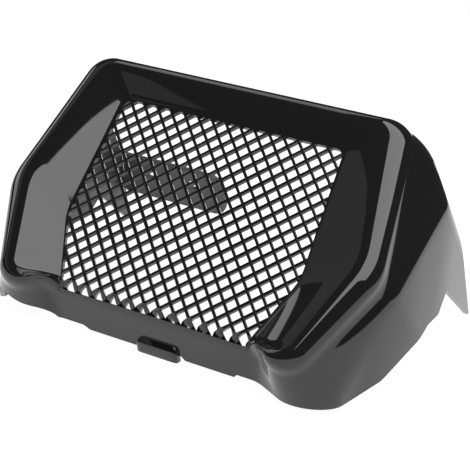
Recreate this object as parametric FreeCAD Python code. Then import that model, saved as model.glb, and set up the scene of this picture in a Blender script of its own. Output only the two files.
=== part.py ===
"""Oil cooler guard: one glossy plastic moulding, a hood with a diamond-mesh front.

It is built square to its mesh: x runs across, y up the mesh and z out of the front.
Then it is leaned back to stand on its latch tab and rear tips, with +Z up and its front towards -Y.
"""
import FreeCAD
import Part
import math
import os

V = FreeCAD.Vector
ACROSS = V(1, 0, 0)
FAR = 300.0

# Wall and stance
WALL = 2.7
LEAN = 52.0
MESH_HEIGHT = 67.2
SKIRT_GAP = 2.2

# Raised rim round the mesh: its crest lies in a plane that rises towards the chin
RIM_HEIGHT = 10.5
RIM_SLOPE = 0.08
RIM_FALL = 10.0
RIM_STEPS = 3
CORNER_STEPS = 4

# Corners of the right half of the rim's crest and foot, as (x, y, radius): chin, foot, waist and shoulder
CREST = ((52.0, -44.0, 14.0), (76.0, -60.0, 10.0), (97.5, 4.0, 40.0), (83.0, 78.5, 9.0))
FRONT = ((57.0, -49.4, 14.0), (80.5, -70.0, 14.0), (107.5, -3.0, 30.0), (95.0, 86.5, 15.0))

# Hood behind the rim: directions of its sides in degrees and radii of its corners
FLANK = -26.9
LOWER_SIDE = 80.9
UPPER_SIDE = 92.0
HOOD_RADII = (14.0, 20.0, 40.0, 20.0)
# Its outlines by their depth behind the mesh: chin corner, half width at the waist and height of the top
BEHIND = {20.0: ((58.5, -61.5), 110.0, 88.0), 190.0: ((76.0, -148.6), 129.0, 84.0)}

# Floor of the recess round the mesh, as (x, y, radius); its mouth follows the rim's crest
FLOOR = ((65.5, 62.0, 5.0), (68.5, -12.5, 30.0), (56.0, -46.0, 5.0))
FLOOR_TAIL = (55.0, -56.0, 2.0)
MOUTH_TAIL = (58.0, -66.0, 3.0)
CHIN_ROUND = 9.0

# Mesh: two crossing sets of bars, their directions in degrees and the distances between crossings
BAR_WIDTH = 1.65
BAR_RISE = 45.0
BAR_FALL = -50.2
RISE_STEP = 6.48
FALL_STEP = 6.36
MESH_START = (18.6, 0.0)
MESH_MARGIN = 0.8
MESH_FOOT = -51.0
SMALLEST_HOLE = 4.0

# Openings at the back: depth of the top wall, height of the wings there, rear upper corner and rear slope
TOP_DEPTH = 33.0
WING_EDGE = 79.0
REAR_TOP = (72.3, -108.7)
REAR_SLOPE = 57.0
EDGE_RADIUS = 9.0

# Lower edge of each wing, as (distance back, height above the ground, radius)
ARCH_START = (28.0, 20.0)
ARCH_SHOULDER = (80.0, 19.7, 15.0)
NOTCH_FOOT = (98.0, 20.2, 4.0)
NOTCH_PEAK = (110.0, 31.2, 2.5)
TIP_FLAT = 3.0

# Arched relief in the left front corner, as (x, height, radius), and how far back it reaches
RELIEF = ((-55.0, 4.3, 15.0), (-83.0, 15.5, 8.0), (-99.0, 15.5, 7.0))
RELIEF_BACK = -10.0

# Rear flanges with two screw holes each
FLANGE_INNER = 41.0
FLANGE_HEIGHT = 38.0
FLANGE_ROUND = 12.0
HOLE_OUTER = 95.5
HOLE_SPACING = 32.0
HOLE_DOWN = 14.5
HOLE_DIAMETER = 7.0

# Latch tab and two stretches of lip on the chin
TAB_MIDDLE = 3.0
TAB_WIDTH = 26.0
TAB_REACH = 3.5
TAB_TOP = 10.8
TAB_RIDGE = 7.8
TAB_ROUND = 3.0
TAB_EDGE = 0.6
LIP_HEIGHT = 2.1
LIP_SPANS = ((-41.5, TAB_MIDDLE), (17.7, 46.5))
CHIN_RUN = (57.0, 75.0)


def rounded_points(corners, steps):
    """For each corner of a closed polygon, points spaced in even steps round its arc."""
    arcs = []
    for i, (x, y, radius) in enumerate(corners):
        here = V(x, y, 0)
        before = (V(*corners[i - 1][:2], 0) - here).normalize()
        after = (V(*corners[(i + 1) % len(corners)][:2], 0) - here).normalize()
        half_angle = before.getAngle(after) / 2
        inward = (before + after).normalize()
        centre = here + inward * (radius / math.sin(half_angle))
        aside = (before - after).normalize()
        arc = []
        for step in range(steps + 1):
            turn = (math.pi / 2 - half_angle) * (1 - 2 * step / steps)
            arc.append(centre + (aside * math.sin(turn) - inward * math.cos(turn)) * radius)
        arcs.append(arc)
    return arcs


def rounded_face(corners):
    """Flat face with a true arc at each corner."""
    arcs = rounded_points(corners, 2)
    edges = []
    for i, arc in enumerate(arcs):
        edges.append(Part.Arc(*arc).toShape())
        edges.append(Part.makeLine(arc[-1], arcs[(i + 1) % len(arcs)][0]))
    return Part.Face(Part.Wire(edges))


def ring(corners, height):
    """Loft section with each corner turned in flat steps; height gives z from y."""
    points = [V(p.x, p.y, height(p.y)) for arc in rounded_points(corners, CORNER_STEPS) for p in arc]
    return Part.makePolygon(points + points[:1])


def both_sides(half):
    """Whole ring of corners from the right half."""
    return list(half) + [(-x, y, radius) for x, y, radius in reversed(half)]


def offset_inward(corners, distance):
    """Ring of corners with every side moved inwards; round corners shrink and hollow ones grow."""
    moved = []
    for i, (x, y, radius) in enumerate(corners):
        here = V(x, y, 0)
        before = (V(*corners[i - 1][:2], 0) - here).normalize()
        after = (V(*corners[(i + 1) % len(corners)][:2], 0) - here).normalize()
        hollow = -1 if before.cross(after).z > 0 else 1
        half_angle = before.getAngle(after) / 2
        spot = here + (before + after).normalize() * (hollow * distance / math.sin(half_angle))
        moved.append((spot.x, spot.y, radius - hollow * distance))
    return moved


def direction(angle):
    """Flat unit vector at an angle in degrees."""
    return V(math.cos(math.radians(angle)), math.sin(math.radians(angle)), 0)


def hood_half(chin, waist, top):
    """Right half of a hood outline, its foot and shoulder found where its sides meet."""
    flank, lower, upper = direction(FLANK), direction(LOWER_SIDE), direction(UPPER_SIDE)
    start, middle = V(*chin, 0), V(waist, 0, 0)
    foot = start + flank * ((middle - start).cross(lower).z / flank.cross(lower).z)
    shoulder = middle + upper * (top / upper.y)
    return [(spot.x, spot.y, radius) for spot, radius in zip((start, foot, middle, shoulder), HOOD_RADII)]


def rim_plane(drop):
    """Height of the rim's sloping plane, lowered by drop."""
    return lambda y: RIM_HEIGHT - RIM_SLOPE * y - drop


def hood(inset, steps):
    """Solid hood through its outlines, set in by inset, its rim turned in steps of a quarter ellipse."""
    crest = offset_inward(both_sides(CREST), inset)
    front = offset_inward(both_sides(FRONT), inset)
    rings = []
    for step in range(steps + 1):
        turn = math.radians(90.0 * step / steps)
        share = math.sin(turn)
        corners = [tuple(c + (f - c) * share for c, f in zip(*pair)) for pair in zip(crest, front)]
        rings.append(ring(corners, rim_plane(inset + RIM_FALL * (1 - math.cos(turn)))))
    for depth, sizes in BEHIND.items():
        corners = offset_inward(both_sides(hood_half(*sizes)), inset)
        rings.append(ring(corners, lambda y, depth=depth: -depth))
    return Part.makeLoft(rings, True, True)


def across(corners):
    """Long prism across the part from a rounded outline of (y, z, radius) corners."""
    prism = rounded_face(corners).extrude(V(0, 0, 2 * FAR))
    prism.translate(V(0, 0, -FAR))
    prism.rotate(V(), V(1, 1, 1), 120)
    return prism


def from_front(corners, back):
    """Long prism towards the front from a rounded outline of (x, height, radius), starting at back."""
    prism = rounded_face(corners).extrude(V(0, 0, FAR))
    prism.rotate(V(), ACROSS, 90)
    prism.translate(V(0, back, 0))
    return prism


def stand(shape):
    """Lean a shape back and lift it to its height above the ground."""
    shape.rotate(V(), ACROSS, LEAN)
    shape.translate(V(0, 0, MESH_HEIGHT))
    return shape


def standing(y, z):
    """Where a (y, z) point of the mesh's own frame comes to stand above the ground."""
    spot = stand(Part.Vertex(0, y, z)).Point
    return spot.y, spot.z


def recess():
    """Tapered space in front of the mesh, open at the chin."""
    def corners(half, tail):
        return both_sides(list(half) + [tail, (tail[0], -FAR, tail[2])])
    floor = ring(corners(FLOOR, FLOOR_TAIL), lambda y: 0.0)
    mouth = ring(corners(CREST[:0:-1], MOUTH_TAIL), rim_plane(0.0))
    return Part.makeLoft([floor, mouth], True, True).fuse(Part.Face(mouth).extrude(V(0, 0, FAR)))


def chin_rounding(inset):
    """Cutter that rounds the edge where the floor of the recess turns down to the chin."""
    depth = min(BEHIND)
    upper = FRONT[0][1] + inset
    lower = BEHIND[depth][0][1] + inset
    upper_height = rim_plane(inset + RIM_FALL)(upper)
    slope = (upper - lower) / (upper_height + depth)
    corner = V(0, upper - slope * (upper_height + inset), -inset)
    to_chin = V(0, -slope, -1).normalize()
    to_mesh = V(0, 1, 0)
    half_angle = to_mesh.getAngle(to_chin) / 2
    radius = CHIN_ROUND - inset
    inward = (to_mesh + to_chin).normalize()
    reach = radius / math.tan(half_angle)
    start, end = corner + to_mesh * reach, corner + to_chin * reach
    middle = corner + inward * (radius / math.sin(half_angle) - radius)
    outside = corner - inward * radius
    round_edge = Part.Arc(start, middle, end).toShape()
    face = Part.Face(Part.Wire([round_edge, Part.makeLine(end, outside), Part.makeLine(outside, start)]))
    face.translate(ACROSS * -FLOOR_TAIL[0])
    return face.extrude(ACROSS * (2 * FLOOR_TAIL[0]))


def shell():
    """Hood wall: the outer form less the same form set in by the wall."""
    space = recess()
    outer = hood(0.0, RIM_STEPS).cut([space, chin_rounding(0.0)])
    space.translate(V(0, 0, -WALL))
    inner = hood(WALL, 1).cut([space, chin_rounding(WALL)])
    return outer.cut(inner)


def mesh_holes():
    """Cutters for the openings between the bars, kept inside the floor of the recess."""
    rise, fall = direction(BAR_RISE), direction(BAR_FALL)
    bar = BAR_WIDTH / rise.cross(fall).Length
    along, down = rise * ((RISE_STEP - bar) / 2), fall * ((FALL_STEP - bar) / 2)
    foot = (FLOOR_TAIL[0], MESH_FOOT, MESH_MARGIN + FLOOR_TAIL[2])
    region = rounded_face(offset_inward(both_sides((foot,) + FLOOR[::-1]), MESH_MARGIN))
    reach = region.BoundBox
    count = math.ceil(reach.DiagonalLength / FALL_STEP)
    cells = []
    for i in range(-count, count + 1):
        for j in range(-count, count + 1):
            middle = V(*MESH_START, 0) + rise * (i * RISE_STEP) + fall * (j * FALL_STEP)
            if reach.isInside(middle):
                left, right = middle - along, middle + along
                spots = [left - down, right - down, right + down, left + down]
                cells.append(Part.Face(Part.makePolygon(spots + spots[:1])))
    holes = [face for face in Part.Compound(cells).common(region).Faces if face.Area > SMALLEST_HOLE]
    cutters = Part.Compound([face.extrude(V(0, 0, -CHIN_ROUND - 2 * WALL)) for face in holes])
    cutters.translate(V(0, 0, WALL))
    return cutters


def top_opening():
    """Space behind the top wall and above the wings."""
    fall = (WING_EDGE - REAR_TOP[0]) / (-TOP_DEPTH - REAR_TOP[1])
    far_edge = WING_EDGE - fall * (FAR - TOP_DEPTH)
    spots = ((WING_EDGE, -TOP_DEPTH), (far_edge, -FAR), (FAR, -FAR), (FAR, -TOP_DEPTH))
    return across([spot + (EDGE_RADIUS,) for spot in spots])


def rear_tip():
    """Distance back of the point where the rear plane meets the ground."""
    y, z = standing(*REAR_TOP)
    return y + z / math.tan(math.radians(REAR_SLOPE))


def chin_foot():
    """Where the chin's outer face would meet the ground, and its lean for each millimetre of height."""
    upper, lower = (standing(BEHIND[depth][0][1], -depth) for depth in sorted(BEHIND)[:2])
    lean = (upper[0] - lower[0]) / (upper[1] - lower[1])
    return lower[0] - lean * lower[1], lean


def rear_space():
    """Everything behind the sloping rear plane."""
    slope = math.radians(REAR_SLOPE)
    down = V(0, math.cos(slope), -math.sin(slope)) * FAR
    out = V(0, math.sin(slope), math.cos(slope)) * FAR
    tip = V(0, rear_tip(), 0)
    spots = (tip - down, tip + down, tip + down + out, tip - down + out)
    return across([(spot.y, spot.z, 1.0) for spot in spots])


def skirt_space():
    """Everything below the lower edge, with the arch and notch of the wings."""
    return across([
        (-FAR, -FAR, 1.0), (-FAR, SKIRT_GAP, 1.0), (ARCH_START[0], SKIRT_GAP, ARCH_START[1]), ARCH_SHOULDER,
        NOTCH_FOOT, NOTCH_PEAK, (rear_tip() - TIP_FLAT, 0.0, 1.0), (FAR, 0.0, 1.0), (FAR, -FAR, 1.0)])


def chin_space():
    """Spaces below the chin's edge, less its two stretches of lip, and in the left corner's relief."""
    inner, outer = CHIN_RUN
    edge = SKIRT_GAP + LIP_HEIGHT
    half = [(inner, edge, 1.0), (outer, SKIRT_GAP, 1.0), (outer, -FAR, 1.0)]
    space = from_front(both_sides(half), 0.0)
    for left, right in LIP_SPANS:
        space = space.cut(Part.makeBox(right - left, FAR, LIP_HEIGHT, V(left, -FAR, SKIRT_GAP)))
    near, far = (RELIEF[0][0], -FAR, 1.0), (RELIEF[-1][0], -FAR, 1.0)
    return [space, from_front([near, *RELIEF, far], RELIEF_BACK)]


def flange():
    """Right rear flange on the rear plane, with its screw holes."""
    far = (FAR, 0.0, 1.0), (FAR, -FLANGE_HEIGHT, 1.0)
    near = (FLANGE_INNER, -FLANGE_HEIGHT, FLANGE_ROUND), (FLANGE_INNER, 0.0, FLANGE_ROUND)
    plate = rounded_face(far + near).extrude(V(0, 0, WALL))
    for x in (HOLE_OUTER, HOLE_OUTER - HOLE_SPACING):
        plate = plate.cut(Part.makeCylinder(HOLE_DIAMETER / 2, WALL, V(x, -HOLE_DOWN, 0)))
    plate.rotate(V(), ACROSS, 180 - REAR_SLOPE)
    plate.translate(V(0, *standing(*REAR_TOP)))
    return plate.common(stand(hood(0.0, RIM_STEPS)))


def latch_tab():
    """Ridged tab that stands out of the chin's lower edge and meets the ground."""
    foot, lean = chin_foot()
    section = across([
        (foot + WALL, 0.0, TAB_EDGE), (foot + lean * TAB_TOP + WALL / 2, TAB_TOP, TAB_EDGE),
        (foot + lean * TAB_RIDGE - TAB_REACH, TAB_RIDGE, TAB_EDGE), (foot - TAB_REACH, 0.0, TAB_EDGE)])
    left, right = TAB_MIDDLE - TAB_WIDTH / 2, TAB_MIDDLE + TAB_WIDTH / 2
    upper = (right, TAB_TOP, TAB_ROUND), (left, TAB_TOP, TAB_ROUND)
    return section.common(from_front([(left, -FAR, 1.0), (right, -FAR, 1.0), *upper], FAR / 2))


def guard():
    """Whole moulding, centred over its footprint."""
    body = stand(shell().cut([mesh_holes(), top_opening()]))
    body = body.cut([rear_space(), skirt_space()] + chin_space())
    ear = flange()
    whole = body.fuse([ear, ear.mirror(V(), ACROSS), latch_tab()]).removeSplitter()
    box = whole.optimalBoundingBox(False)
    whole.translate(V(0, -(box.YMin + box.YMax) / 2, 0))
    return whole


os.makedirs("parts", exist_ok=True)
guard().exportStep("parts/guard.step")
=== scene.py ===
"""Oil cooler guard: a gloss black moulded hood with a diamond mesh, on a pale studio floor.

The surfaces are drawn in millimetres, square to the mesh: x across, b up the mesh and c out of its front.
Then they are leaned back into the part's own frame, in metres: +X across, front towards -Y, +Z up.
"""
import math
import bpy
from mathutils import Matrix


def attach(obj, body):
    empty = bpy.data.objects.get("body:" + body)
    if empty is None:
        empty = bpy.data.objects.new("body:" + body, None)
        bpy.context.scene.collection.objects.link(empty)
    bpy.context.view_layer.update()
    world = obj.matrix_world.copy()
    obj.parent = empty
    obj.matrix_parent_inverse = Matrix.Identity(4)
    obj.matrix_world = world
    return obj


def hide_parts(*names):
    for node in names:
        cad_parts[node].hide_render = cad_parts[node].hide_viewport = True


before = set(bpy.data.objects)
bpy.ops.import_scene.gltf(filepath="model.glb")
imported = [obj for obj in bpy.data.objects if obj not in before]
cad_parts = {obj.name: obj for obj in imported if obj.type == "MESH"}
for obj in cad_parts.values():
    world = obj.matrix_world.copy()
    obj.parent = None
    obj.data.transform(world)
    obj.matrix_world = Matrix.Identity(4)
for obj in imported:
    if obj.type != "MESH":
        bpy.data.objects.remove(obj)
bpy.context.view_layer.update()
from types import SimpleNamespace

import bpy
import numpy as np
from bpy.props import FloatProperty, FloatVectorProperty, PointerProperty
from mathutils import Matrix

bl_info = {
    "name": "Oil Cooler Guard",
    "version": (1, 0, 0),
    "blender": (4, 5, 0),
    "location": "View3D > Sidebar > Guard",
    "description": "Builds a gloss black oil cooler guard with a diamond mesh on a studio floor",
    "category": "Add Mesh",
}

PHOTO_PIXELS = 470
SENSOR_WIDTH = 36.0
MM = 1000.0
# Limits that keep divisions safe
SHORTEST = 1e-9
TINY = 1e-6
# Decimals of a metre to which joined points agree, and angles of sharp edges in degrees
WELD_DECIMALS = 7
SHARP_ANGLE = 30.0
HOOD_SHARP_ANGLE = 60.0

# Right half of each outline as (x, b, radius) corners: chin, foot, waist and shoulder
FLOOR = ((54.0, -52.6, 2.0), (56.0, -46.0, 3.0), (68.5, -12.5, 30.0), (65.5, 62.0, 5.0))
CREST = ((52.0, -44.0, 14.0), (76.0, -60.0, 10.0), (97.5, 4.0, 40.0), (83.0, 78.5, 9.0))
FRONT = ((57.0, -49.4, 14.0), (80.5, -70.0, 14.0), (107.5, -3.0, 30.0), (95.0, 86.5, 15.0))
NEAR = ((58.5, -61.5, 14.0), (97.0, -81.0, 20.0), (110.0, 0.0, 40.0), (107.0, 88.0, 20.0))
BACK = ((76.0, -148.6, 14.0), (103.0, -162.2, 20.0), (129.0, 0.0, 40.0), (126.1, 84.0, 20.0))
NEAR_DEPTH = 20.0
BACK_DEPTH = 190.0
# Steps round each corner's arc and along the side that follows it, in the order of a whole outline
ARC_STEPS = (8, 24, 14, 22, 22, 14, 24, 8)
SIDE_STEPS = (14, 120, 100, 56, 100, 120, 14, 56)
# Steps round each corner of an open line
LINE_STEPS = 8

# Profile of the hood: steps, columns, the recess's margin, the facets' bulge and widths of eased kinks
RIM_STEPS = 15
CREST_COLUMN = RIM_STEPS
FRONT_COLUMN = CREST_COLUMN + RIM_STEPS - 1
WALL_STEPS = 27
EDGE_TRIES = 700
RECESS_CENTRE = (0.0, 5.0)
RECESS_MARGIN = 1.0
FACET_BULGE = 0.3
RIM_EASE = 4.0
WALL_EASE = 9.0
# The rim sinks across the chin: the noses' rise in x, their end in b and the chin's line as b and (b, c)
NOSE_RISE = (50.0, 69.0)
NOSE_TOP = -40.0
CHIN_CREST = -53.3
CHIN_FRONT = (-54.4, -5.7)
# Share of the chin's rounding that the mesh plane follows before it levels out
ROUNDING_SHARE = 0.98
# Where the wall stays thin, so that the noses don't fold and the lowest holes stay open, and its share there
THIN_SPAN = (50.0, 68.0)
THIN_BELOW = -30.0
THIN_COLUMNS = 33
THIN_SHARE = 0.1
# Rounding of the walls' edges in metres and the angle in degrees from which an edge is rounded
EDGE_ROUND = 0.0004
EDGE_ANGLE = 50.0

# Bounds of the walls: wing edge and rear corner as (b, c), arch and notch as (distance back, height, radius)
TOP_EDGE = (79.0, -33.0)
REAR_TOP = (72.3, -108.7)
REAR_SLOPE = 57.0
EDGE_BLEND = 8.0
ARCH = ((28.0, 2.2, 20.0), (80.0, 19.7, 15.0), (98.0, 20.2, 4.0), (110.0, 31.2, 2.5))
ARCH_START = -300.0
TIP_INSET = 3.0
TIP_HEIGHT = 0.5
# Chin's lower edge: run up from the corners, and lips as spans of x
CHIN_RUN = (57.0, 75.0)
LIP_SPANS = ((-41.5, 3.0), (17.7, 46.5))
# Relief in the left corner as (x, height, radius), how far its ends lie out and down, and where it stops
RELIEF = ((-55.0, 4.3, 15.0), (-83.0, 15.5, 8.0), (-99.0, 15.5, 7.0))
RELIEF_SIDE = 0.1
RELIEF_FOOT = -50.0
RELIEF_BACK = -10.0

# Crown of the side walls: a line as (y, z) point and direction across it, lean upwards over it and its fade
CROWN_POINT = (28.8, 80.8)
CROWN_ACROSS = (-0.3997, 0.9166)
CROWN_UP = 0.45
CROWN_FADE = (-6.0, 9.0)
# Lean forwards along y, the columns that the crown starts in and how far sideways a wall must face
CROWN_FORWARD = ((-95.0, -75.0, -52.0, 0.0, 25.0, 55.0), (0.0, 0.15, 0.27, 0.12, 0.1, 0.0))
CROWN_COLUMNS = (28.0, 33.0)
CROWN_SIDEWAYS = (0.7, 0.9)

# Mesh directions in degrees, distances between crossings and the middle of one opening
BAR_RISE = 45.0
BAR_FALL = -50.2
RISE_STEP = 6.48
FALL_STEP = 6.36
MESH_START = (18.6, 0.0)
# Lines to each side, steps of a bar, shortest bar, overlap with the hood and section as (width, depth)
BAR_LINES = 30
BAR_STEPS = 44
BAR_SHORTEST = 2.0
BAR_OVERLAP = 0.9
BAR_SECTION = (
    (-1.0, -1.0), (-1.0, -0.17), (-0.72, -0.04), (0.0, 0.0), (0.72, -0.04), (1.0, -0.17), (1.0, -1.0))
# Over the chin's fold, with spans of b: bend of rising bars, widening of both sets, sinking and lean
FOLD_BEND = 0.075
FOLD_RISE_WIDER = 1.5
FOLD_FALL_WIDER = 0.6
FOLD_WIDE_SPAN = (-45.0, -52.0)
FOLD_SINK = 1.3
FOLD_SINK_SPAN = (-50.2, -52.6)
FOLD_LEAN = (0.0, 0.0, -0.6)
FOLD_LEAN_SPAN = (-44.5, -48.0)

# Latch tab: middle, heights of top and ridge, rounding of its ends and radii from the foot's front round
TAB_MIDDLE = 2.3
TAB_TOP = 10.4
TAB_RIDGE = 6.9
TAB_ROUND = 3.0
TAB_RADII = (0.6, 0.8, 0.5, 0.5)
# How far its top, foot and anchor lie behind the chin's face, and steps of its ends and corners
TAB_TOP_BACK = 1.3
TAB_FOOT_BACK = 2.4
TAB_ANCHOR_BACK = 1.0
TAB_END_STEPS = 6
TAB_CORNER_STEPS = 5

# Rear flanges: each hole's middle and its cell's sides, with levels up from the wings' rear corner
FLANGE_CELLS = ((95.5, 79.5, None), (63.5, 41.0, 79.5))
HOLE_LEVEL = -14.5
HOLE_RADIUS = 3.5
FLANGE_TOP = -1.0
FLANGE_FOOT = -37.7
# Outer end as direction across and distance, inner corners as direction and level, their middle and radius
FLANGE_END = ((1.0, 0.13), 113.6)
FLANGE_CORNERS = ((1.0, -12.0), (-1.0, -26.0))
FLANGE_CORNER_X = 53.0
FLANGE_CORNER_RADIUS = 12.0
# Rays and rings of each cell's faces
FLANGE_RAYS = 96
FLANGE_RINGS = 9

# Black plastics: shade, roughness, scale of the bump's noise and height of the bump in metres
FINISHES = {
    "gloss_black_plastic": (0.009, 0.04, 35.0, 0.0006),
    "matte_black_inside": (0.02, 0.45, 900.0, 0.0003),
    "gloss_black_bars": (0.008, 0.1, 60.0, 0.0004),
    "gloss_black_tab": (0.006, 0.05, 40.0, 0.0005),
    "matte_black_flange": (0.03, 0.5, 900.0, 0.0003),
}
# All of them: blue tint, refraction, scale of the haze, share of roughness without it and bump's strength
BLUE_TINT = 1.05
PLASTIC_IOR = 1.52
HAZE_SCALE = 60.0
HAZE_BASE = 0.5
BUMP_STRENGTH = 0.05

# Finish of floor and surround, and soft lights that hang level: name, two corners in metres and radiance
FLOOR_SHADE = 0.3
FLOOR_ROUGHNESS = 0.9
WORLD_SHADE = 0.05
LIGHT_HEIGHT = 1.0
SOFTBOXES = (
    ("softbox_main", (-0.09, -0.78), (1.26, 0.3), 3.9),
    ("softbox_rear", (-0.65, -0.05), (-0.2, 0.75), 1.6),
    ("softbox_left", (-5.0, -0.5), (-1.75, 0.9), 2.0),
    ("softbox_fill", (-1.75, -1.3), (-0.7, 0.2), 0.3),
)


def length(name, description, default, **limits):
    """A setting for a length, in metres."""
    return FloatProperty(
        name=name, description=description, default=default, subtype="DISTANCE", unit="LENGTH", precision=5,
        **limits)


class GuardSettings(bpy.types.PropertyGroup):
    """Sizes of the moulding."""
    wall: length("Wall", "Thickness of the moulded wall", 0.0027, min=0.0005)
    lean: FloatProperty(
        name="Lean", description="How far the mesh stands up from the ground", subtype="ANGLE",
        default=math.radians(52))
    mesh_height: length("Mesh height", "Height of the mesh's middle", 0.0672)
    setback: length("Setback", "Distance that centres the part front to back", 0.0606)
    rim_height: length("Rim height", "Height of the rim over the mesh's middle", 0.01014)
    rim_slope: FloatProperty(
        name="Rim slope", description="Rise of the rim towards the chin", subtype="FACTOR", default=0.0847)
    rim_fall: length("Rim fall", "Drop from the rim's crest to the outer wall", 0.01)
    chin_round: length("Chin rounding", "Radius between mesh and chin", 0.009)
    bar_width: length("Bar width", "Width of a mesh bar", 0.00165, min=0.0002)
    tab_width: length("Tab width", "Width of the latch tab", 0.0236)
    tab_reach: length("Tab reach", "How far the tab stands out of the chin", 0.0031)


class StudioSettings(bpy.types.PropertyGroup):
    """Camera and light of the studio."""
    camera_place: FloatVectorProperty(
        name="Camera place", description="Where the camera stands", subtype="XYZ", unit="LENGTH",
        default=(0.2194, -0.5383, 0.2385))
    azimuth: FloatProperty(
        name="Azimuth", description="Turn of the view to the side", subtype="ANGLE",
        default=math.radians(21.947))
    elevation: FloatProperty(
        name="Elevation", description="How far the view looks down", subtype="ANGLE",
        default=math.radians(18.257))
    roll: FloatProperty(
        name="Roll", description="Tilt of the camera about its view", subtype="ANGLE",
        default=math.radians(8.302))
    focal_pixels: FloatProperty(
        name="Focal length", description="Focal length in pixels of the photograph", subtype="PIXEL",
        default=1067.0)
    floor_size: length("Floor size", "Width of the square floor", 30.0)
    floor_glow: FloatProperty(
        name="Floor glow", description="How brightly the pale floor is lit from below", subtype="FACTOR",
        default=0.96, min=0.0, soft_max=2.0)


def drawn_sizes(settings):
    """The settings' values, with lengths in millimetres, as the surfaces are drawn."""
    units = {name: settings.bl_rna.properties[name].unit for name in settings.__annotations__}
    return SimpleNamespace(
        **{name: getattr(settings, name) * (MM if unit == "LENGTH" else 1.0) for name, unit in units.items()})


class Value:
    """A shader socket that takes part in Python expressions; each operator adds one Math node."""

    def __init__(self, tree, socket):
        self.tree = tree
        self.socket = socket

    def node(self, kind, settings=None, output=0, **sockets):
        """Add a node of a kind, set its settings first, then the values or links of its named sockets."""
        made = self.tree.nodes.new(kind)
        for name, setting in (settings or {}).items():
            setattr(made, name, setting)
        for name, value in sockets.items():
            socket = made.inputs[int(name[1:])] if name[1:].isdigit() else made.inputs[name.replace("_", " ")]
            if isinstance(value, Value):
                self.tree.links.new(value.socket, socket)
            else:
                socket.default_value = value
        return Value(self.tree, made.outputs[output])

    def math(self, operation, other):
        return self.node("ShaderNodeMath", {"operation": operation}, i0=self, i1=other)

    def __add__(self, other):
        return self.math("ADD", other)

    def __mul__(self, other):
        return self.math("MULTIPLY", other)

    def __sub__(self, other):
        return self.math("SUBTRACT", other)

    def __rsub__(self, other):
        return self.node("ShaderNodeMath", {"operation": "SUBTRACT"}, i0=other, i1=self)

    __radd__ = __add__
    __rmul__ = __mul__


def new_material(name):
    """A material with only a Principled shader, its Object coordinates and the shader's node."""
    material = bpy.data.materials.new(name)
    material.use_nodes = True
    tree = material.node_tree
    shader = next(node for node in tree.nodes if node.type == "BSDF_PRINCIPLED")
    place = tree.nodes.new("ShaderNodeTexCoord").outputs["Object"]
    return material, shader, Value(tree, place)


def plastic(name, crown=False):
    """Moulded black plastic: noise lightly varies its roughness and a second noise makes a faint bump.

    A crowned skin's bumped normals are leaned by its crown attribute.
    """
    shade, roughness, grain, bump_size = FINISHES[name]
    material, shader, place = new_material(name)
    shader.inputs["Base Color"].default_value = (shade, shade, shade * BLUE_TINT, 1.0)
    shader.inputs["IOR"].default_value = PLASTIC_IOR
    haze = place.node("ShaderNodeTexNoise", Vector=place, Scale=HAZE_SCALE, Detail=3.0)
    place.tree.links.new((haze * roughness + roughness * HAZE_BASE).socket, shader.inputs["Roughness"])
    waves = place.node("ShaderNodeTexNoise", Vector=place, Scale=grain, Detail=1.0)
    bump = place.node("ShaderNodeBump", Height=waves, Strength=BUMP_STRENGTH, Distance=bump_size)
    if crown:
        lean = place.node("ShaderNodeAttribute", {"attribute_name": "crown"}, output=1)
        raised = place.node("ShaderNodeVectorMath", {"operation": "ADD"}, i0=bump, i1=lean)
        bump = place.node("ShaderNodeVectorMath", {"operation": "NORMALIZE"}, i0=raised)
    place.tree.links.new(bump.socket, shader.inputs["Normal"])
    return material


def unit(vectors):
    """Vectors scaled to length one along their last axis."""
    return vectors / np.maximum(np.linalg.norm(vectors, axis=-1, keepdims=True), SHORTEST)


def corner_arc(before, corner, after, steps):
    """Points of the arc that rounds a polygon's corner, in even steps of its angle."""
    here, radius = np.array(corner[:2]), corner[2]
    back, ahead = unit(np.array(before[:2]) - here), unit(np.array(after[:2]) - here)
    half_angle = np.arccos(np.clip(back @ ahead, -1.0, 1.0)) / 2
    inward, aside = unit(back + ahead), unit(back - ahead)
    turn = (np.pi / 2 - half_angle) * np.linspace(1.0, -1.0, steps + 1)[:, None]
    middle = here + inward * radius / np.sin(half_angle)
    return middle + (aside * np.sin(turn) - inward * np.cos(turn)) * radius


def outline(half):
    """Closed outline from its right half, each side in even steps between the arcs of its corners."""
    corners = list(half) + [(-x, b, radius) for x, b, radius in reversed(half)]
    count = len(corners)
    arcs = [
        corner_arc(corners[i - 1], corners[i], corners[(i + 1) % count], ARC_STEPS[i])
        for i in range(count)]
    pieces = []
    for i in range(count):
        share = np.linspace(0.0, 1.0, SIDE_STEPS[i] + 1)[1:-1, None]
        pieces += [arcs[i], arcs[i][-1] * (1 - share) + arcs[(i + 1) % count][0] * share]
    return np.concatenate(pieces)


def rounded_line(corners, start, end):
    """Open line from start through rounded corners to end, as columns of its points."""
    chain = [start, *corners, end]
    arcs = [corner_arc(chain[i - 1], chain[i], chain[i + 1], LINE_STEPS) for i in range(1, len(chain) - 1)]
    return np.concatenate([[start[:2]], *arcs, [end[:2]]]).T


def with_height(flat, height):
    """Flat (x, b) points with a third column for the height c."""
    return np.concatenate([flat, np.broadcast_to(height, flat.shape[:-1])[..., None]], axis=-1)


def smoothstep(low, high, value):
    """Smooth rise from 0 at low to 1 at high."""
    share = np.clip((value - low) / (high - low), 0.0, 1.0)
    return share * share * (3 - 2 * share)


def over_rounding(b, guard):
    """Height of the mesh plane, which turns down over the chin's rounding below its foot."""
    past = np.clip(FLOOR[1][1] - b, 0.0, guard.chin_round * ROUNDING_SHARE)
    return np.sqrt(guard.chin_round ** 2 - past ** 2) - guard.chin_round


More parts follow.
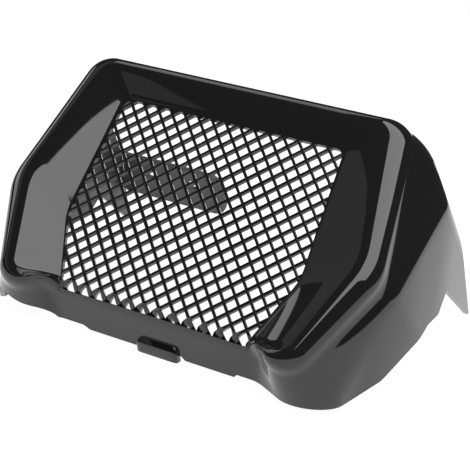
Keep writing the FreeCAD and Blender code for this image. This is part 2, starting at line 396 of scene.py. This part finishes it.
def stand(points, guard):
    """Points of the mesh's own frame, in millimetres, leaned back into the part's frame, in metres."""
    x, b, c = np.moveaxis(points, -1, 0)
    sine, cosine = math.sin(guard.lean), math.cos(guard.lean)
    back, up = b * cosine - c * sine, guard.mesh_height + b * sine + c * cosine
    return np.stack([x, back - guard.setback, up], axis=-1) / MM


def lower_edge(x, back, guard):
    """Height of the moulding's lower edge: the wings' arch and notch, the chin's lip and the left relief."""
    skirt, edge = ARCH[0][1], RELIEF[0][1]
    tip = (rear_tip(0.0, guard) - TIP_INSET, TIP_HEIGHT)
    height = np.interp(back, *rounded_line(ARCH, (ARCH_START, skirt), tip))
    chin = np.interp(np.abs(x), CHIN_RUN, (edge, skirt))
    for left, right in LIP_SPANS:
        chin = np.where((x > left) & (x < right), skirt, chin)
    ends = [(RELIEF[0][0] + RELIEF_SIDE, RELIEF_FOOT), (RELIEF[-1][0] - RELIEF_SIDE, RELIEF_FOOT)]
    left_x, left_z = rounded_line(RELIEF, *ends)
    relief = np.interp(-x, -left_x, left_z)
    height = np.where(back < 0.0, np.maximum(height, chin), height)
    return np.where(back < RELIEF_BACK, np.maximum(height, relief), height)


def rear_tip(up, guard):
    """Distance back of the sloping rear plane at a height."""
    _, back, height = stand(np.array([0.0, *REAR_TOP]), guard) * MM
    return back + guard.setback + (height - up) / math.tan(math.radians(REAR_SLOPE))


def past_edge(points, guard):
    """How far points of the walls lie past the moulding's edges; negative where there is wall."""
    x, b, c = np.moveaxis(points, -1, 0)
    spot = stand(points, guard) * MM
    back, up = spot[..., 1] + guard.setback, spot[..., 2]
    fall = (TOP_EDGE[0] - REAR_TOP[0]) / (TOP_EDGE[1] - REAR_TOP[1])
    above = b - (TOP_EDGE[0] - fall * (TOP_EDGE[1] - c))
    behind = TOP_EDGE[1] - c
    blend = np.maximum(EDGE_BLEND - np.abs(above - behind), 0.0)
    opening = np.minimum(above, behind) - blend ** 2 / (4 * EDGE_BLEND)
    return np.maximum.reduce([opening, back - rear_tip(up, guard), lower_edge(x, back, guard) - up])


def eased(points, along, kinks):
    """Profiles with their kinks eased.

    Within a width w of a kink, (w - distance)^2 / 4w of its change of direction is added.
    """
    moved = points.copy()
    for place, into, out, width in kinks:
        near = np.maximum(width - np.abs(along - place), 0.0) ** 2 / (4 * width)
        moved += near[..., None] * (out - into)[:, None, :]
    return moved


def hood_profiles(guard):
    """Profiles of the outer skin from the mesh's edge over the rim to the moulding's lower and rear edges.

    One parameter runs round the hood and one along its profile: up the recess's bulging side, over a quarter
    ellipse at the rim and straight back through the hood's outlines to the edge. Across the chin the rim
    sinks to the rounding below the mesh, so that its lower ends become noses.
    """
    floor, crest, front, near, back = (outline(half) for half in (FLOOR, CREST, FRONT, NEAR, BACK))
    inner = floor + unit(np.array(RECESS_CENTRE) - floor) * RECESS_MARGIN
    rim = smoothstep(*NOSE_RISE, np.abs(crest[:, 0]))
    rim = np.where(crest[:, 1] > NOSE_TOP, 1.0, rim)[:, None]
    k0 = with_height(inner, over_rounding(inner[:, 1], guard))
    k1 = with_height(floor, over_rounding(floor[:, 1], guard))
    plane = guard.rim_height - guard.rim_slope * crest[:, 1]
    sunk = np.stack([crest[:, 0], np.full(len(crest), CHIN_CREST)], axis=1)
    sunk_front = np.stack([front[:, 0], np.full(len(front), CHIN_FRONT[0])], axis=1)
    k2 = with_height(sunk, over_rounding(sunk[:, 1], guard)) * (1 - rim) + with_height(crest, plane) * rim
    front_plane = guard.rim_height - guard.rim_slope * front[:, 1] - guard.rim_fall
    k3 = with_height(sunk_front, CHIN_FRONT[1]) * (1 - rim) + with_height(front, front_plane) * rim
    k4 = with_height(near, -NEAR_DEPTH)
    k5 = with_height(back, -BACK_DEPTH)
    even = np.linspace(0.0, 1.0, RIM_STEPS)[None, :, None]
    turn = even * np.pi / 2
    ellipse_flat = np.sin(turn) * rim[:, None] + even * (1 - rim[:, None])
    ellipse_drop = (1 - np.cos(turn)) * rim[:, None] + even * (1 - rim[:, None])
    share = np.concatenate([np.repeat(ellipse_flat, 2, axis=2), ellipse_drop], axis=2)
    bend = k2[:, None] + (k3 - k2)[:, None] * share
    level = even[:, :-1]
    climb = level + FACET_BULGE * level * (1 - level)
    facet = k1[:, None] + (k2 - k1)[:, None] * np.concatenate([level, level, climb], axis=2)
    upper = np.concatenate([k0[:, None], facet, bend], axis=1)
    wall = wall_to_edge(k3, k4, k5, guard)
    points = np.concatenate([upper, wall[:, 1:]], axis=1)
    steps = np.linalg.norm(np.diff(points, axis=1), axis=2)
    along = np.concatenate([np.zeros((len(points), 1)), np.cumsum(steps, axis=1)], axis=1)
    kinks = [
        (along[:, [CREST_COLUMN]], unit(k2 - k1), unit(bend[:, 1] - bend[:, 0]), RIM_EASE),
        (along[:, [FRONT_COLUMN]], unit(bend[:, -1] - bend[:, -2]), unit(k4 - k3), RIM_EASE)]
    return eased(points, along, kinks)


def wall_to_edge(k3, k4, k5, guard):
    """The walls from the rim back, ended where each line first passes the moulding's edge."""
    first, second = np.linalg.norm(k4 - k3, axis=1), np.linalg.norm(k5 - k4, axis=1)
    into, out = unit(k4 - k3), unit(k5 - k4)

    def line(along):
        before = k3[:, None] + into[:, None] * np.minimum(along, first[:, None])[..., None]
        points = before + out[:, None] * np.maximum(along - first[:, None], 0.0)[..., None]
        return eased(points, along, [(first[:, None], into, out, WALL_EASE)])

    tries = np.linspace(0.0, 1.0, EDGE_TRIES)[None, :] * (first + second)[:, None]
    past = past_edge(line(tries), guard)
    hit = np.argmax(past > 0.0, axis=1)
    rows = np.arange(len(hit))
    low, high = past[rows, hit - 1], past[rows, hit]
    reach = tries[rows, hit - 1] + (tries[rows, hit] - tries[rows, hit - 1]) * (low / (low - high))
    return line(np.linspace(0.0, 1.0, WALL_STEPS)[None, :] * reach[:, None])


def wing_crown(points):
    """Lean of the side walls' normals: up above a line from rear corner to waist, and forwards."""
    x, y, z = np.moveaxis(points * MM, -1, 0)
    around, along = np.roll(points, -1, axis=0) - points, np.gradient(points, axis=1)
    sideways = unit(np.cross(along, around))[..., 0] * np.sign(x)
    above = CROWN_ACROSS[0] * (y - CROWN_POINT[0]) + CROWN_ACROSS[1] * (z - CROWN_POINT[1])
    up = CROWN_UP * smoothstep(*CROWN_FADE, above)
    forward = np.interp(y, *CROWN_FORWARD)
    walls = smoothstep(*CROWN_SIDEWAYS, sideways) * smoothstep(*CROWN_COLUMNS, np.arange(points.shape[1]))
    return np.stack([np.zeros_like(x), -forward * walls, up * walls], axis=-1)


def grid_faces(rows, columns, closed_rows=False, closed_columns=False):
    """Corner numbers of the quads of a grid of points, closed round either way if asked."""
    down = np.arange(rows if closed_rows else rows - 1)[:, None]
    side = np.arange(columns if closed_columns else columns - 1)[None, :]
    below, right = (down + 1) % rows, (side + 1) % columns
    corners = (down * columns + side, down * columns + right, below * columns + right, below * columns + side)
    return np.stack([corner.ravel() for corner in corners], axis=1)


def add_piece(name, points, faces, materials, sharp=SHARP_ANGLE):
    """Make a piece from points and faces, with its finishes, and let it ride with the part's body."""
    mesh = bpy.data.meshes.new(name)
    mesh.from_pydata(points.reshape(-1, 3).tolist(), [], faces.tolist())
    mesh.polygons.foreach_set("use_smooth", np.ones(len(faces), dtype=bool))
    mesh.set_sharp_from_angle(angle=math.radians(sharp))
    for material in materials:
        mesh.materials.append(material)
    piece = bpy.data.objects.new(name, mesh)
    bpy.context.scene.collection.objects.link(piece)
    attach(piece, "root")
    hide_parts("guard")
    return piece


def lean_normals(piece, lean):
    """Keep the vectors that the finish adds to a piece's normals in its crown attribute."""
    crown = piece.data.attributes.new("crown", "FLOAT_VECTOR", "POINT")
    crown.data.foreach_set("vector", lean.ravel())


def thicken(piece, wall, inside=0, full=None):
    """Give a skin its wall and round the wall's edges a little.

    Where full is given, the points that it leaves out stay thin.
    """
    solid = piece.modifiers.new("wall", "SOLIDIFY")
    if full is not None:
        piece.vertex_groups.new(name="full_wall").add(full.tolist(), 1.0, "REPLACE")
        solid.vertex_group = "full_wall"
        solid.thickness_vertex_group = THIN_SHARE
    solid.thickness = wall / MM
    solid.offset = -1.0
    solid.use_even_offset = True
    solid.material_offset = inside
    edges = piece.modifiers.new("edges", "BEVEL")
    edges.width = EDGE_ROUND
    edges.segments = 2
    edges.limit_method = "ANGLE"
    edges.angle_limit = math.radians(EDGE_ANGLE)
    edges.harden_normals = True


class GUARD_OT_hood(bpy.types.Operator):
    """Build the moulded hood: recess, rim, chin, corners and wings in one skin"""
    bl_idname = "guard.hood"
    bl_label = "Moulded hood"

    def execute(self, context):
        guard = drawn_sizes(context.scene.guard_sizes)
        points = stand(hood_profiles(guard), guard)
        faces = grid_faces(points.shape[0], points.shape[1], closed_rows=True)
        gloss = plastic("gloss_black_plastic", crown=True)
        matte = plastic("matte_black_inside")
        hood = add_piece("hood", points, faces, (gloss, matte), sharp=HOOD_SHARP_ANGLE)
        lean_normals(hood, wing_crown(points))
        crest, column = outline(CREST), np.arange(points.shape[1])[None, :]
        side, low = np.abs(crest[:, :1]), crest[:, 1:] < THIN_BELOW
        nose = (side > THIN_SPAN[0]) & (side < THIN_SPAN[1])
        thin = low & (nose | ((side <= THIN_SPAN[0]) & (column < THIN_COLUMNS)))
        thicken(hood, guard.wall, inside=1, full=np.flatnonzero(~thin))
        return {"FINISHED"}


def clip_bars(angle, origins):
    """Where lines at an angle through origins enter and leave the floor of the recess."""
    heading = np.array([math.cos(angle), math.sin(angle)])
    half = np.array([corner[:2] for corner in FLOOR])
    ring = np.concatenate([half, half[::-1] * (-1, 1)])
    side = np.roll(ring, -1, axis=0) - ring
    outward = unit(np.stack([side[:, 1], -side[:, 0]], axis=1))
    room = ((ring * outward).sum(axis=1) + BAR_OVERLAP)[None, :] - origins @ outward.T
    pace = np.broadcast_to(heading @ outward.T, room.shape)
    leave = np.where(pace > TINY, room / np.where(pace > TINY, pace, 1.0), np.inf).min(axis=1)
    enter = np.where(pace < -TINY, room / np.where(pace < -TINY, pace, 1.0), -np.inf).max(axis=1)
    return heading, enter, leave


def bar_points(angle, step_angle, step, guard):
    """One set of mesh bars: a crowned section along each line of the lattice, over the chin's rounding.

    Below the fold the bars drop on the rounding's circle, widen and sink under the hood's margin, and the
    rising ones bend by the square of the distance past the fold.
    """
    apart = np.array([math.cos(step_angle), math.sin(step_angle)]) * step
    origins = np.array(MESH_START) + (np.arange(-BAR_LINES, BAR_LINES + 1)[:, None] + 0.5) * apart
    heading, enter, leave = clip_bars(angle, origins)
    kept = leave - enter > BAR_SHORTEST
    origins, enter, leave = origins[kept], enter[kept], leave[kept]
    rising = heading[1] > 0
    low, high = (enter, leave) if rising else (leave, enter)
    share = np.concatenate([[0.0], np.linspace(0.0, 1.0, BAR_STEPS) ** 2, [1.0]])
    along = low[:, None] + (high - low)[:, None] * share
    flat = origins[:, None] + along[..., None] * heading
    b = flat[..., 1]
    if rising:
        flat[..., 0] += np.clip(FLOOR[1][1] - b, 0.0, None) ** 2 * FOLD_BEND
    path = with_height(flat, over_rounding(b, guard) - FOLD_SINK * smoothstep(*FOLD_SINK_SPAN, b))
    normal = np.array([0.0, 0.0, 1.0])
    ahead = np.gradient(path, axis=1)
    ahead = unit(ahead + TINY * with_height(np.broadcast_to(heading, flat.shape), 0.0))
    across = unit(np.cross(normal, ahead))
    wider = FOLD_RISE_WIDER if rising else FOLD_FALL_WIDER
    half = guard.bar_width / 2 * (1 + wider * smoothstep(*FOLD_WIDE_SPAN, b))
    section = np.array(BAR_SECTION)
    ends = np.ones(len(share))
    ends[[0, -1]] = 0.0
    wide = section[:, 0] * ends[:, None]
    deep = section[:, 1] * ends[:, None] * guard.wall
    return (path[:, :, None] + across[:, :, None] * (half[..., None] * wide)[..., None]
            + normal * deep[None, :, :, None])


class GUARD_OT_mesh(bpy.types.Operator):
    """Build the diamond mesh from two crossing sets of moulded bars"""
    bl_idname = "guard.mesh"
    bl_label = "Diamond mesh"

    def execute(self, context):
        guard = drawn_sizes(context.scene.guard_sizes)
        rise, fall = math.radians(BAR_RISE), math.radians(BAR_FALL)
        sets = [bar_points(rise, fall, FALL_STEP, guard), bar_points(fall, rise, RISE_STEP, guard)]
        drawn = np.concatenate(sets)
        bars = stand(drawn, guard)
        count, rings, around = bars.shape[:3]
        single = grid_faces(rings, around, closed_columns=True)
        faces = (single[None] + np.arange(count)[:, None, None] * rings * around).reshape(-1, 4)
        gloss = plastic("gloss_black_bars", crown=True)
        mesh = add_piece("mesh_bars", bars, faces, (gloss,))
        lean_normals(mesh, smoothstep(*FOLD_LEAN_SPAN, drawn[..., 1]).reshape(-1, 1) * FOLD_LEAN)
        return {"FINISHED"}


def chin_line(guard):
    """Distance back of the chin's outer face at the ground and its change with height."""
    spots = stand(np.array([(0.0, NEAR[0][1], -NEAR_DEPTH), (0.0, BACK[0][1], -BACK_DEPTH)]), guard) * MM
    lean = (spots[0, 1] - spots[1, 1]) / (spots[0, 2] - spots[1, 2])
    return spots[0, 1] - lean * spots[0, 2], lean


def tab_points(guard):
    """The tab: a rounded four-cornered section swept across, which shrinks along a circle at both ends."""
    foot, lean = chin_line(guard)
    flat = [(foot - guard.tab_reach, 0.0), (foot + lean * TAB_RIDGE - guard.tab_reach, TAB_RIDGE),
            (foot + lean * TAB_TOP + TAB_TOP_BACK, TAB_TOP), (foot + TAB_FOOT_BACK, 0.0)]
    corners = [(*spot, radius) for spot, radius in zip(flat, TAB_RADII)]
    count = len(corners)
    section = np.concatenate([
        corner_arc(corners[i - 1], corners[i], corners[(i + 1) % count], TAB_CORNER_STEPS)
        for i in range(count)])
    turn = np.linspace(-np.pi / 2, np.pi / 2, 2 * TAB_END_STEPS)[TAB_END_STEPS:]
    straight = guard.tab_width / 2 - TAB_ROUND
    ends = straight + TAB_ROUND * np.sin(turn)
    across = np.concatenate([-ends[::-1], ends])
    past = np.maximum(np.abs(across) - straight, 0.0)
    tall = 1 - (TAB_ROUND - np.sqrt(np.maximum(TAB_ROUND ** 2 - past ** 2, 0.0))) / TAB_TOP
    across, tall = np.r_[across[0], across, across[-1]], np.r_[0.0, tall, 0.0]
    anchor = np.array([foot + TAB_ANCHOR_BACK, 0.0])
    spots = anchor + (section - anchor)[None] * tall[:, None, None]
    sideways = np.broadcast_to(across[:, None, None] + TAB_MIDDLE, spots.shape[:2] + (1,))
    return np.concatenate([sideways, spots], axis=2) / MM


class GUARD_OT_tab(bpy.types.Operator):
    """Build the ridged latch tab on the chin's lower edge"""
    bl_idname = "guard.tab"
    bl_label = "Latch tab"

    def execute(self, context):
        guard = drawn_sizes(context.scene.guard_sizes)
        points = tab_points(guard)
        faces = grid_faces(points.shape[0], points.shape[1], closed_columns=True)[:, ::-1]
        add_piece("latch_tab", points, faces, (plastic("gloss_black_tab"),))
        return {"FINISHED"}


def flange_bounds(low, high):
    """Lines round one hole's cell of a flange, as directions out of it and distances."""
    lines = [((0.0, 1.0), FLANGE_TOP), ((0.0, -1.0), -FLANGE_FOOT), ((-1.0, 0.0), -low)]
    if high is None:
        lines.append((unit(np.array(FLANGE_END[0])), FLANGE_END[1]))
    else:
        lines.append(((1.0, 0.0), high))
        lean = np.linspace(0.0, np.pi / 2, FLANGE_RINGS)[1:-1]
        for sign, level in FLANGE_CORNERS:
            pull = np.stack([-np.cos(lean), sign * np.sin(lean)], axis=1)
            lines += [(p, p @ (FLANGE_CORNER_X, level) + FLANGE_CORNER_RADIUS) for p in pull]
    return np.array([line[0] for line in lines]), np.array([line[1] for line in lines])


def flange_cells():
    """Cells of the right flange: rays fan out from each hole's edge, in even rings, to the cell's lines."""
    apart = (FLANGE_CELLS[0][0] - FLANGE_CELLS[1][0]) / 2
    heights = np.array([FLANGE_TOP, FLANGE_FOOT]) - HOLE_LEVEL
    to_corners = np.concatenate([np.arctan2(heights, apart), np.arctan2(heights, -apart)]) % (2 * np.pi)
    turn = np.sort(np.r_[np.linspace(0.0, 2 * np.pi, FLANGE_RAYS + 1)[:-1], to_corners])
    rays = np.stack([np.cos(turn), np.sin(turn)], axis=1)
    rings = np.linspace(0.0, 1.0, FLANGE_RINGS)[None, :, None]
    cells = []
    for middle, low, high in FLANGE_CELLS:
        outward, distance = flange_bounds(low, high)
        room, pace = distance - outward @ (middle, HOLE_LEVEL), rays @ outward.T
        reach = np.where(pace > TINY, room / np.where(pace > TINY, pace, 1.0), np.inf).min(axis=1)
        span = HOLE_RADIUS + (reach[:, None, None] - HOLE_RADIUS) * rings
        cells.append(np.array([middle, HOLE_LEVEL]) + rays[:, None] * span)
    return np.stack(cells)


class GUARD_OT_flanges(bpy.types.Operator):
    """Build the two rear flanges with their screw holes"""
    bl_idname = "guard.flanges"
    bl_label = "Rear flanges"

    def execute(self, context):
        guard = drawn_sizes(context.scene.guard_sizes)
        flat = flange_cells()
        slope = math.radians(REAR_SLOPE)
        corner = stand(np.array([0.0, *REAR_TOP]), guard) * MM
        back, up = corner[1] - flat[..., 1] * math.cos(slope), corner[2] + flat[..., 1] * math.sin(slope)
        right = np.stack([flat[..., 0], back, up], axis=-1)
        both = np.concatenate([right, (right * (-1, 1, 1))[:, ::-1]]) / MM
        count, rows, columns = both.shape[:3]
        single = grid_faces(rows, columns, closed_rows=True)
        faces = (single[None] + np.arange(count)[:, None, None] * rows * columns).reshape(-1, 4)
        both = both.reshape(-1, 3)
        _, first, joined = np.unique(
            both.round(WELD_DECIMALS), axis=0, return_index=True, return_inverse=True)
        matte = plastic("matte_black_flange")
        piece = add_piece("rear_flanges", both[first], joined.ravel()[faces], (matte,))
        thicken(piece, guard.wall)
        return {"FINISHED"}


def softbox(name, low, high, radiance):
    """A rectangular area light that hangs level between two corners, with an even radiance."""
    light = bpy.data.lights.new(name, "AREA")
    light.shape = "RECTANGLE"
    light.size, light.size_y = high[0] - low[0], high[1] - low[1]
    light.energy = radiance * math.pi * light.size * light.size_y
    lamp = bpy.data.objects.new(name, light)
    lamp.location = ((low[0] + high[0]) / 2, (low[1] + high[1]) / 2, LIGHT_HEIGHT)
    bpy.context.scene.collection.objects.link(lamp)


class GUARD_OT_stage(bpy.types.Operator):
    """Lay the pale floor and set the studio lights and the camera"""
    bl_idname = "guard.stage"
    bl_label = "Studio stage"

    def execute(self, context):
        studio = context.scene.guard_studio
        half = studio.floor_size / 2
        mesh = bpy.data.meshes.new("floor")
        corners = [(-half, -half, 0.0), (half, -half, 0.0), (half, half, 0.0), (-half, half, 0.0)]
        mesh.from_pydata(corners, [], [(0, 1, 2, 3)])
        floor = bpy.data.objects.new("floor", mesh)
        context.scene.collection.objects.link(floor)
        material, shader, _ = new_material("pale_floor")
        shader.inputs["Base Color"].default_value = (FLOOR_SHADE, FLOOR_SHADE, FLOOR_SHADE, 1.0)
        shader.inputs["Roughness"].default_value = FLOOR_ROUGHNESS
        shader.inputs["Emission Color"].default_value = (1.0, 1.0, 1.0, 1.0)
        shader.inputs["Emission Strength"].default_value = studio.floor_glow
        mesh.materials.append(material)
        for name, low, high, radiance in SOFTBOXES:
            softbox(name, low, high, radiance)
        world = bpy.data.worlds.new("studio")
        context.scene.world = world
        world.use_nodes = True
        surround = world.node_tree.nodes["Background"].inputs["Color"]
        surround.default_value = (WORLD_SHADE, WORLD_SHADE, WORLD_SHADE, 1.0)
        context.scene.view_settings.view_transform = "Standard"
        self.place_camera(context, studio)
        return {"FINISHED"}

    def place_camera(self, context, studio):
        """Set the camera where the photograph was taken from."""
        camera = bpy.data.cameras.new("camera")
        camera.sensor_width = SENSOR_WIDTH
        camera.lens = SENSOR_WIDTH * studio.focal_pixels / PHOTO_PIXELS
        view = bpy.data.objects.new("camera", camera)
        sideways = Matrix.Rotation(studio.azimuth, 4, "Z")
        turn = sideways @ Matrix.Rotation(math.pi / 2 - studio.elevation, 4, "X")
        roll = Matrix.Rotation(studio.roll, 4, "Z")
        view.matrix_world = Matrix.Translation(studio.camera_place) @ turn @ roll
        context.scene.collection.objects.link(view)
        context.scene.camera = view


class GUARD_PT_panel(bpy.types.Panel):
    """Sidebar panel with the builder's steps and settings"""
    bl_label = "Oil Cooler Guard"
    bl_idname = "GUARD_PT_panel"
    bl_space_type = "VIEW_3D"
    bl_region_type = "UI"
    bl_category = "Guard"

    def draw(self, context):
        for step in STEPS:
            self.layout.operator(step.bl_idname)
        for settings in (context.scene.guard_sizes, context.scene.guard_studio):
            for name in settings.__annotations__:
                self.layout.prop(settings, name)


STEPS = (GUARD_OT_hood, GUARD_OT_mesh, GUARD_OT_tab, GUARD_OT_flanges, GUARD_OT_stage)
CLASSES = (GuardSettings, StudioSettings) + STEPS + (GUARD_PT_panel,)


def register():
    for cls in CLASSES:
        bpy.utils.register_class(cls)
    bpy.types.Scene.guard_sizes = PointerProperty(type=GuardSettings)
    bpy.types.Scene.guard_studio = PointerProperty(type=StudioSettings)


def unregister():
    del bpy.types.Scene.guard_studio
    del bpy.types.Scene.guard_sizes
    for cls in reversed(CLASSES):
        bpy.utils.unregister_class(cls)


def main():
    register()
    bpy.ops.guard.hood()
    bpy.ops.guard.mesh()
    bpy.ops.guard.tab()
    bpy.ops.guard.flanges()
    bpy.ops.guard.stage()


if __name__ == "__main__":
    main()
